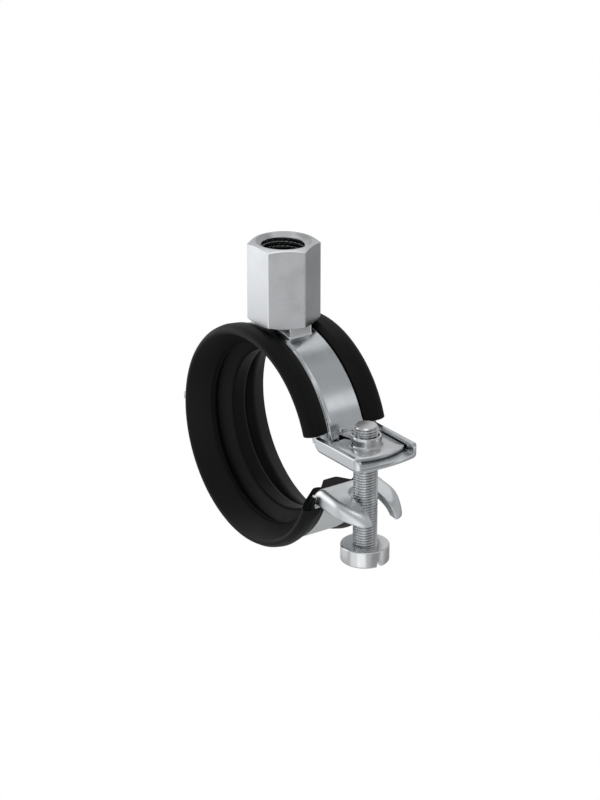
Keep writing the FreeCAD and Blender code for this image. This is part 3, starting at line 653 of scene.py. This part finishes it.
def nut_grid(settings):
    """Outside and threaded inside of the nut as one closed run of rings, and its painted highlight.

    The side runs between the two cones that break the corners, so each side's
    ends come out as the arcs where the cones meet the flats.  The wide
    thread's radius is the wave of height over pitch less angle over a turn,
    and the mouth's cone cuts it back.
    """
    turn = 2 * np.pi
    close = np.linspace(-NUT_CORNER, NUT_CORNER, 7)
    near_corner = np.add.outer(np.arange(6) * np.pi / 3, close).ravel() % turn
    even = np.linspace(0, turn, NUT_SIDES, endpoint=False)
    angle = np.unique(np.concatenate([even, near_corner]).round(5))

    def ring(radius, height, highlight=0.0):
        return around_z(radius + 0 * angle, height, angle), highlight + 0 * angle

    side = hexagon_radius(angle, settings.flats)
    low = NUT_LOW_Z + (side - LAND_R) * CHAMFER_SLOPE * LOW_CHAMFER_SHARE
    high = NUT_TOP_Z - (side - LAND_R) * CHAMFER_SLOPE
    from_corner = np.abs((angle + np.pi / 6) % (np.pi / 3) - np.pi / 6)
    # Painted highlight: near white along the hexagon's corners and chamfer edges, at the mouth and on the
    # thread crests.
    bright = EDGE_HIGHLIGHT * (1 - ramp(from_corner, *NUT_HIGHLIGHT))
    rows = [ring(PIN_R, NUT_LOW_Z), ring(LOW_RING_R, NUT_LOW_Z), ring(LAND_R, NUT_LOW_Z)]
    rows.append(ring(side, low, np.maximum(bright, LOW_EDGE_HIGHLIGHT)))
    rows += [ring(side, low + (high - low) * share, bright) for share in NUT_SIDE_SHARES]
    rows.append(ring(side, high, np.maximum(bright, TOP_EDGE_HIGHLIGHT)))
    rows += [ring(LAND_R, NUT_TOP_Z), ring(MOUTH_R, NUT_TOP_Z, MOUTH_HIGHLIGHT)]
    z = np.concatenate([np.linspace(WIDE_TOP_Z, WIDE_SEEN_Z, WIDE_SEEN_ROWS),
                        np.linspace(WIDE_DEEP_Z, WIDE_END_Z, WIDE_DEEP_ROWS)])[:, None]
    wave = thread_wave(z / settings.pitch - angle[None, :] / turn + WIDE_START_TURN, crest=0.10, root=0.34)
    thread = WIDE_ROOT_R - (WIDE_ROOT_R - WIDE_CREST_R) * wave
    cone = MOUTH_LOW_R + (z - (NUT_TOP_Z - MOUTH_DEEP)) * ((MOUTH_R - MOUTH_LOW_R) / MOUTH_DEEP)
    radius = np.maximum(thread, np.minimum(cone, MOUTH_R))
    crest = EDGE_HIGHLIGHT * ((wave > HIGHLIGHT_FROM) & (radius == thread))
    rows += [ring(*row) for row in zip(radius, z[:, 0], crest)]
    rows += [ring(NARROW_R, NARROW_TOP_Z), ring(NARROW_R, NARROW_END_Z), ring(PIN_R, NARROW_TIP_Z)]
    return stacked(rows)


def rounded_rectangle(half_x, half_y, corner, count):
    """Points round a rectangle with round corners, from the middle of one side."""
    t = np.radians(np.linspace(0, 90, count))
    quarter = np.column_stack([half_x - corner + corner * np.cos(t), half_y - corner + corner * np.sin(t)])
    return np.vstack([quarter, quarter[::-1] * [-1, 1], -quarter, quarter[::-1] * [1, -1]])


def foot_grid():
    """The foot's rounded outline from the ring's surface up to the hexagon, and the painted highlight of its
    edges.

    A row moves the outline straight out from each side by its spread, and up
    by its share of the height between the ring and the hexagon.
    """
    turns = rounded_rectangle(FOOT_HALF_X, FOOT_HALF_Y, FOOT_CORNER, 6)
    turns = np.vstack([turns, turns[:1]])
    run = np.concatenate([[0], np.cumsum(np.linalg.norm(np.diff(turns, axis=0), axis=1))])
    even = np.linspace(0, run[-1], FOOT_COLUMNS, endpoint=False)
    outline = np.column_stack([np.interp(even, run, turns[:, k]) for k in (0, 1)])
    half = np.array([FOOT_HALF_X, FOOT_HALF_Y])
    corner = np.all(np.abs(outline) > half - FOOT_CORNER, axis=1)
    on_side = np.abs(outline) > half - TOUCH
    away = np.sign(outline) * np.where(corner[:, None], 1, on_side)
    ring_z = np.sqrt(RING_R ** 2 - outline[:, 0] ** 2) - FOOT_SINK
    rows = []
    for share, spread, highlight in FOOT_ROWS:
        height = ring_z + (FOOT_TOP_Z - ring_z) * share
        # Painted highlight on the foot's corners and its lowest rows.
        rows.append((np.column_stack([outline + spread * away, height]), np.maximum(highlight, 1.0 * corner)))
    return stacked(rows)


class CLAMP_OT_nut(bpy.types.Operator):
    """Make the connection nut"""
    bl_idname = "clamp.nut"
    bl_label = "Connection nut"

    def execute(self, context):
        grid, highlight = nut_grid(context.scene.clamp_nut)
        hexagon = add_grid("nut_hexagon", grid, wrap_columns=True, sharp_deg=28, edge=highlight)
        grid, highlight = foot_grid()
        foot = add_grid("nut_foot", grid, wrap_columns=True, sharp_deg=28, edge=highlight)
        nut = join("nut_threaded_hexagon", hexagon, foot)
        # The nut's steel gets painted shade within 5 mm: under the hexagon, over the foot and in the thread.
        steel = zinc_steel("zinc_steel_nut", ("#d0d2d5", "#dedfe1"), 0.26, (1.0, 1.0, 0.25), dull=0.12,
                           crevice_mm=5.0)
        finish_with(nut, steel)
        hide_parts("connection_nut")
        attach(nut, "upper_half")
        return {"FINISHED"}


# Threaded plate

PLATE_LOW_Z = 5.2
PLATE_TOP_Z = 6.2
PLATE_OUTER_X = 34.4
PLATE_ARCH_R = 13.6
PLATE_ARCH_HALF_DEG = 25
PLATE_BORE_R = 2.52
# Half the outline from the arch's end round the corner and along the tongue to its head.
PLATE_SIDE = [(32.9, 6.0), (32.2, 6.1), (29.0, 6.1), (25.0, 6.1), (24.2, 6.0), (23.75, 5.6), (23.7, 5.0),
              (23.7, 3.4), (23.7, 1.9), (23.5, 1.7), (22.0, 1.7), (20.45, 1.7), (20.4, 3.1), (20.3, 3.2),
              (19.6, 3.2), (19.5, 3.1)]
# The rim's rows: how far in from the outline, height above the underside, and painted highlight.
PLATE_RIM = ((0.09, 0.0, 0.0), (0.09, 0.33, 0.0), (0.02, 0.36, 0.0), (0.0, 0.42, 0.0), (0.0, 0.84, 0.8),
             (0.05, 0.95, 0.8), (0.17, 1.0, 0.0))
COLLAR_R = 3.14
COLLAR_FLARE = 0.55
COLLAR_LAND = 0.06
COLLAR_FLARE_DEG = (270, 247, 225, 202, 180)
# The collar's rows above the flare: radius, height and painted highlight.
COLLAR_WALL = ((3.13, 7.6, 0.0), (3.13, 8.26, 0.0), (3.08, 8.36, 0.8), (2.98, 8.4, 0.8), (2.64, 8.4, 0.0),
               (PLATE_BORE_R, 8.3, 0.0))


def plate_outline():
    """Plan of the plate: arched outer edge, round corners, tongue with a head."""
    t = np.radians(np.linspace(-PLATE_ARCH_HALF_DEG, PLATE_ARCH_HALF_DEG, 25))
    middle_x = PLATE_OUTER_X - PLATE_ARCH_R
    arch = np.column_stack([middle_x + PLATE_ARCH_R * np.cos(t), PLATE_ARCH_R * np.sin(t)])
    far = np.array(PLATE_SIDE)
    near = far[::-1] * [1, -1]
    return np.vstack([arch, far, near])


def plate_grid():
    """Rings from the plate's rim in to the drawn collar and down through it, and its painted highlight.

    A rim row pulls each point of the outline straight towards the screw's
    axis, and the flare is a quarter turn between the plate's top and the collar.
    """
    outline = plate_outline()
    away = outline - [SCREW_X, 0]
    angle = np.arctan2(away[:, 1], away[:, 0])
    away = away / np.linalg.norm(away, axis=1, keepdims=True)

    def ring(radius, height, highlight=0.0):
        return around_z(radius, height, angle, SCREW_X), np.full(len(outline), highlight)

    def rim(inset, height, highlight):
        level = np.full(len(outline), PLATE_LOW_Z + height)
        return np.column_stack([outline - away * inset, level]), np.full(len(outline), highlight)

    rows = [ring(PLATE_BORE_R, PLATE_LOW_Z)]
    rows += [rim(*row) for row in PLATE_RIM]
    flare_r = COLLAR_R + COLLAR_FLARE
    rows.append(ring(flare_r + COLLAR_LAND, PLATE_TOP_Z))
    for turn in np.radians(COLLAR_FLARE_DEG):
        rows.append(ring(flare_r + COLLAR_FLARE * math.cos(turn),
                         PLATE_TOP_Z + COLLAR_FLARE * (1 + math.sin(turn))))
    rows += [ring(*row) for row in COLLAR_WALL]
    return stacked(rows)


class CLAMP_OT_plate(bpy.types.Operator):
    """Make the threaded plate"""
    bl_idname = "clamp.plate"
    bl_label = "Threaded plate"

    def execute(self, context):
        grid, highlight = plate_grid()
        plate = add_grid("plate_with_drawn_collar", grid, wrap_rows=True, wrap_columns=True, sharp_deg=40,
                         edge=highlight)
        # The plate's steel gets painted shade along its rim where it sits on the tab, and in other crevices.
        finish_with(plate, zinc_steel("zinc_steel_plate", ("#d4d6d8", "#dfe0e2"), 0.20, shade_level=0.5))
        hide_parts("threaded_plate")
        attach(plate, "plate")
        return {"FINISHED"}


# Ring halves

class CLAMP_OT_straps(bpy.types.Operator):
    """Finish the two halves of the sheet ring"""
    bl_idname = "clamp.straps"
    bl_label = "Ring halves"

    def execute(self, context):
        grain = (1.0, 0.25, 1.0)
        # Both halves get painted highlight along their edges and painted shade in crevices and beside the
        # rubber.
        upper = zinc_steel("zinc_steel_upper_strap", ("#d5d9dc", "#e0e3e6"), 0.19, grain, edge_mm=0.2,
                           crevice_mm=0.5, shade_level=0.42, shoulder=(3.68, 4.2, 0.26))
        lower = zinc_steel("zinc_steel_lower_strap", ("#e6eaec", "#eff1f3"), 0.28, grain, edge_mm=0.45,
                           crevice_mm=0.2, shade_level=0.15)
        for name, steel in (("upper_strap", upper), ("lower_strap", lower)):
            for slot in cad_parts[name].material_slots:
                slot.material = steel
        return {"FINISHED"}


# Studio

# Where the camera aims, in mm to the right of and above the pipe's axis as it sees them.
AIM_RIGHT = 3.265
AIM_UP = 5.609
COOL_WHITE = (0.985, 0.995, 1.0, 1.0)

# Softboxes round the part: azimuth and elevation of the middle, half width,
# half height (degrees) and the brightness each adds to the surround.
PANELS = {
    "front strip": (-50, -10, 17, 30, 0.60),
    "front side strip": (-86, -10, 19, 30, 0.38),
    "front low fill": (-18, -20, 9, 10, 0.05),
    "dark card front right": (16, -22, 20, 18, -0.17),
    "over the camera": (-35, 64, 15, 9, 0.90),
    "narrow right strip": (47, -18, 4, 14, 0.50),
    "dark card right": (100, -26, 26, 22, -0.16),
    "right low far panel": (160, -16, 16, 12, 0.25),
    "high strip": (40, 34, 6, 7, 0.50),
    "dark card high": (96, 58, 12, 9, -0.13),
    "strap fill": (80, 57, 5, 6, 0.10),
    "high far strip": (116, 54, 4, 8, 0.10),
    "plate panel": (148, 22, 18, 11, 0.19),
    "back panel": (148, 47, 14, 12, 0.42),
    "top far panel": (145, 66, 18, 9, 0.80),
}

# A panel's soft edge: at most so many degrees, and a share of its half size.
SOFT_EDGE_MAX = 5.0
SOFT_EDGE_SHARE = 0.4

# The large panel on the left, in mm and degrees.
CARD_AZIMUTH = -145
CARD_DISTANCE = 150
CARD_HALF_W = 125
CARD_LOW_Z = -110
CARD_HIGH_Z = 150


def camera_place(settings):
    """Camera matrix at the settings' angles, aimed a little beside the pipe's axis."""
    a, e = settings.azimuth, settings.elevation
    back = Vector((math.sin(a) * math.cos(e), -math.cos(a) * math.cos(e), math.sin(e)))
    right = Vector((math.cos(a), math.sin(a), 0))
    up = back.cross(right)
    aim = (right * AIM_RIGHT + up * AIM_UP) * MM
    place = aim + back * settings.distance
    turn = Matrix((right, up, back)).transposed()
    return Matrix.Translation(place) @ turn.to_4x4()


def card_light(across):
    """Light of the left card: brighter above its lower third, fading out at its sides and foot."""
    material, tree = new_material("left_card_light")
    place = node(tree, "ShaderNodeTexCoord").outputs["Object"]
    z = node(tree, "ShaderNodeSeparateXYZ", {"Vector": place}).outputs["Z"]
    off = node(tree, "ShaderNodeVectorMath", {0: place, 1: across}, operation="DOT_PRODUCT")
    off = node(tree, "ShaderNodeMath", {0: off.outputs["Value"]}, operation="ABSOLUTE").outputs["Value"]
    sides = node(tree, "ShaderNodeMapRange", {"Value": off, "From Min": 120 * MM, "From Max": 80 * MM},
                 interpolation_type="SMOOTHSTEP")
    level = node(tree, "ShaderNodeMapRange", {"Value": z, "From Min": -36 * MM, "From Max": -12 * MM,
                                              "To Min": 0.28, "To Max": 0.88},
                 interpolation_type="SMOOTHSTEP").outputs["Result"]
    foot = node(tree, "ShaderNodeMapRange", {"Value": z, "From Min": -112 * MM, "From Max": -96 * MM},
                interpolation_type="SMOOTHSTEP")
    for fade in (sides, foot):
        level = node(tree, "ShaderNodeMath", {0: level, 1: fade.outputs["Result"]}, operation="MULTIPLY")
        level = level.outputs["Value"]
    glow = node(tree, "ShaderNodeEmission", {"Color": COOL_WHITE, "Strength": level})
    through = node(tree, "ShaderNodeBsdfTransparent")
    both = node(tree, "ShaderNodeAddShader", {0: glow.outputs["Emission"], 1: through.outputs["BSDF"]})
    node(tree, "ShaderNodeOutputMaterial", {"Surface": both.outputs["Shader"]})
    return material


def left_card():
    """A large soft panel to the left of the part: a flat grid across the card's azimuth."""
    a = math.radians(CARD_AZIMUTH)
    ahead = np.array([math.cos(a), math.sin(a), 0])
    across = np.array([-math.sin(a), math.cos(a), 0])
    up = np.array([0, 0, 1])
    u, v = np.meshgrid(np.linspace(-CARD_HALF_W, CARD_HALF_W, 9), np.linspace(CARD_LOW_Z, CARD_HIGH_Z, 9),
                       indexing="ij")
    points = ahead * CARD_DISTANCE + u[..., None] * across + v[..., None] * up
    card = add_object("left_card", points.reshape(-1, 3), grid_faces(9, 9, False, False).tolist())
    finish_with(card, card_light(across))
    card.visible_camera = False
    card.visible_shadow = False


def softbox(tree, ray, azimuth, elevation, half_w, half_h, level):
    """A soft-edged rectangle on the surround, as a brightness to add."""
    a, e = math.radians(azimuth), math.radians(elevation)
    ahead = (math.cos(a) * math.cos(e), math.sin(a) * math.cos(e), math.sin(e))
    across = (-math.sin(a), math.cos(a), 0.0)
    upward = (-math.cos(a) * math.sin(e), -math.sin(a) * math.sin(e), math.cos(e))
    facing = node(tree, "ShaderNodeVectorMath", {0: ray, 1: ahead}, operation="DOT_PRODUCT")
    front = node(tree, "ShaderNodeMath", {0: facing.outputs["Value"], 1: 0.0}, operation="GREATER_THAN")
    lit = front
    for direction, half in ((across, half_w), (upward, half_h)):
        off = node(tree, "ShaderNodeVectorMath", {0: ray, 1: direction}, operation="DOT_PRODUCT")
        off = node(tree, "ShaderNodeMath", {0: off.outputs["Value"]}, operation="ABSOLUTE")
        edge = math.sin(math.radians(half))
        soft = math.radians(min(SOFT_EDGE_MAX, half * SOFT_EDGE_SHARE))
        inside = node(tree, "ShaderNodeMapRange", {"Value": off.outputs["Value"], "From Min": edge + soft,
                                                   "From Max": edge - soft}, interpolation_type="SMOOTHSTEP")
        lit = node(tree, "ShaderNodeMath", {0: lit.outputs["Value"], 1: inside.outputs["Result"]},
                   operation="MULTIPLY")
    return node(tree, "ShaderNodeMath", {0: lit.outputs["Value"], 1: level},
                operation="MULTIPLY").outputs["Value"]


def studio_world():
    """White backdrop for the camera; softboxes on a grey surround for light and reflections."""
    world = bpy.data.worlds.new("studio")
    world.use_nodes = True
    tree = world.node_tree
    tree.nodes.clear()
    incoming = node(tree, "ShaderNodeNewGeometry").outputs["Incoming"]
    ray = node(tree, "ShaderNodeVectorMath", {0: incoming, "Scale": -1.0},
               operation="SCALE").outputs["Vector"]
    height = node(tree, "ShaderNodeSeparateXYZ", {"Vector": ray}).outputs["Z"]
    level = node(tree, "ShaderNodeMapRange", {"Value": height, "From Min": -1.0, "From Max": 1.0,
                                              "To Min": 0.46, "To Max": 0.40}).outputs["Result"]
    for panel in PANELS.values():
        box = softbox(tree, ray, *panel)
        level = node(tree, "ShaderNodeMath", {0: level, 1: box}, operation="ADD").outputs["Value"]
    light = node(tree, "ShaderNodeBackground", {"Color": COOL_WHITE, "Strength": level})
    seen = node(tree, "ShaderNodeBackground", {"Color": (1, 1, 1, 1), "Strength": 1.0})
    path = node(tree, "ShaderNodeLightPath")
    both = node(tree, "ShaderNodeMixShader", {"Fac": path.outputs["Is Camera Ray"],
                                              1: light.outputs["Background"], 2: seen.outputs["Background"]})
    node(tree, "ShaderNodeOutputWorld", {"Surface": both.outputs["Shader"]})
    bpy.context.scene.world = world


class CLAMP_OT_stage(bpy.types.Operator):
    """Set up the camera, the light and the backdrop"""
    bl_idname = "clamp.stage"
    bl_label = "Studio"

    def execute(self, context):
        settings = context.scene.clamp_stage
        data = bpy.data.cameras.new("camera")
        data.sensor_fit = "VERTICAL"
        data.sensor_height = 36.0
        data.lens = settings.lens
        data.clip_start = 0.01
        data.clip_end = 20
        camera = bpy.data.objects.new("camera", data)
        camera.matrix_world = camera_place(settings)
        context.scene.collection.objects.link(camera)
        context.scene.camera = camera
        left_card()
        studio_world()
        context.scene.view_settings.view_transform = "Standard"
        return {"FINISHED"}


# Add-on

PIECES = (CLAMP_OT_liner, CLAMP_OT_screw, CLAMP_OT_nut, CLAMP_OT_plate, CLAMP_OT_straps, CLAMP_OT_stage)

SETTINGS = {
    "clamp_liner": ClampLinerSettings,
    "clamp_screw": ClampScrewSettings,
    "clamp_nut": ClampNutSettings,
    "clamp_finish": ClampFinishSettings,
    "clamp_stage": ClampStageSettings,
}


class CLAMP_PT_panel(bpy.types.Panel):
    """Lists the steps that make the clamp"""
    bl_idname = "CLAMP_PT_panel"
    bl_label = "Pipe clamp"
    bl_space_type = "VIEW_3D"
    bl_region_type = "UI"
    bl_category = "Clamp"

    def draw(self, context):
        for piece in PIECES:
            self.layout.operator(piece.bl_idname)


def register():
    """Register the settings, the operators and the panel."""
    for name, group in SETTINGS.items():
        bpy.utils.register_class(group)
        setattr(bpy.types.Scene, name, PointerProperty(type=group))
    for piece in PIECES + (CLAMP_PT_panel,):
        bpy.utils.register_class(piece)


def unregister():
    """Take away what register added."""
    for piece in PIECES + (CLAMP_PT_panel,):
        bpy.utils.unregister_class(piece)
    for name, group in SETTINGS.items():
        delattr(bpy.types.Scene, name)
        bpy.utils.unregister_class(group)


def main():
    """Make every piece and the stage."""
    register()
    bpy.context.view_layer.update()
    bpy.ops.clamp.liner()
    bpy.ops.clamp.screw()
    bpy.ops.clamp.nut()
    bpy.ops.clamp.plate()
    bpy.ops.clamp.straps()
    bpy.ops.clamp.stage()


if __name__ == "__main__":
    main()
